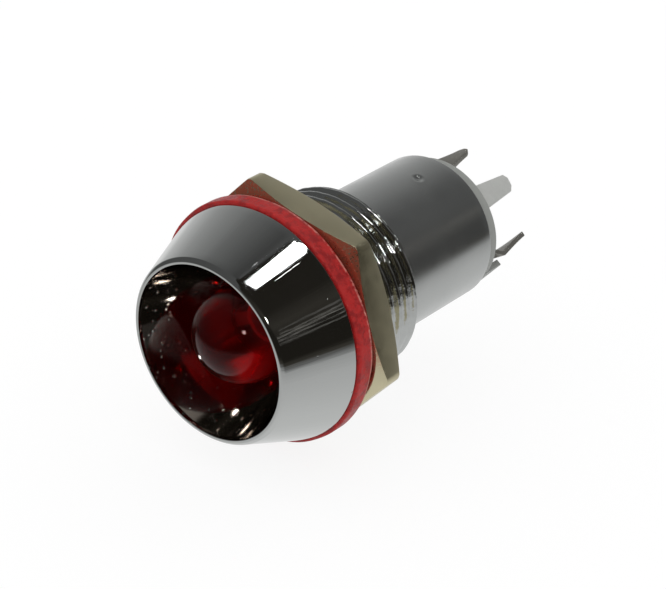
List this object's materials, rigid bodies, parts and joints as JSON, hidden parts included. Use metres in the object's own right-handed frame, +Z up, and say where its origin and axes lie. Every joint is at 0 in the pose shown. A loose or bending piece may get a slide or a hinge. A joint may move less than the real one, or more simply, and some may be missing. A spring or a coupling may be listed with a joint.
{
  "type": "panel pilot light",
  "caption": "Chromed panel pilot light: coned head with concave reflector and red round lamp, threaded shank with hexagon nut and sealing washer, plain rear barrel with solder tags.",
  "frame": {"origin": "on the lamp's axis, in the plane of the head's rear face", "axes": "+Y along the axis, from the head's rear face through the shank towards the solder tags; +Z up; +X to the right"},
  "size_m": [0.0218, 0.0349, 0.0214],
  "materials": {
    "chrome": "bright chromium plate on brass, polished on the head and satin on the barrel",
    "red_lamp": "clear deep red epoxy",
    "tinned_wire": "tinned wire",
    "rubber": "black rubber",
    "nylon": "natural nylon",
    "board": "green glass laminate",
    "resistor": "lacquered body",
    "diode_glass": "amber glass",
    "band_paint": "black paint",
    "sleeve_film": "polyester film",
    "insulator": "pale grey moulded plastic",
    "tag_metal": "tinned brass sheet, slightly dulled",
    "solder": "bright solder",
    "red_fibre": "red sealing washer, scuffed on its edges",
    "nickel": "satin nickel plate"
  },
  "bodies": {
    "lamp": {"bezel_body": "chrome", "led_lens": "red_lamp", "led_cathode_lead": "tinned_wire", "led_anode_lead": "tinned_wire", "led_seal": "rubber", "spacer_sleeve": "nylon", "circuit_board": "board", "resistor_1_body": "resistor", "resistor_1_wires": "tinned_wire", "resistor_2_body": "resistor", "resistor_2_wires": "tinned_wire", "diode_body": "diode_glass", "diode_band": "band_paint", "diode_wires": "tinned_wire", "insulating_sleeve": "sleeve_film", "terminal_base": "insulator", "solder_tag_upper": "tag_metal", "solder_tag_middle": "tag_metal", "solder_tag_lower": "tag_metal", "solder_joints": "solder", "sealing_washer": "red_fibre"},
    "nut": {"hex_nut": "nickel"}
  },
  "joints": [
    {"name": "nut_travel", "type": "slide", "parent": "lamp", "child": "nut", "axis": [0, 1, 0], "range_m": [0, 0.0082]}
  ]
}
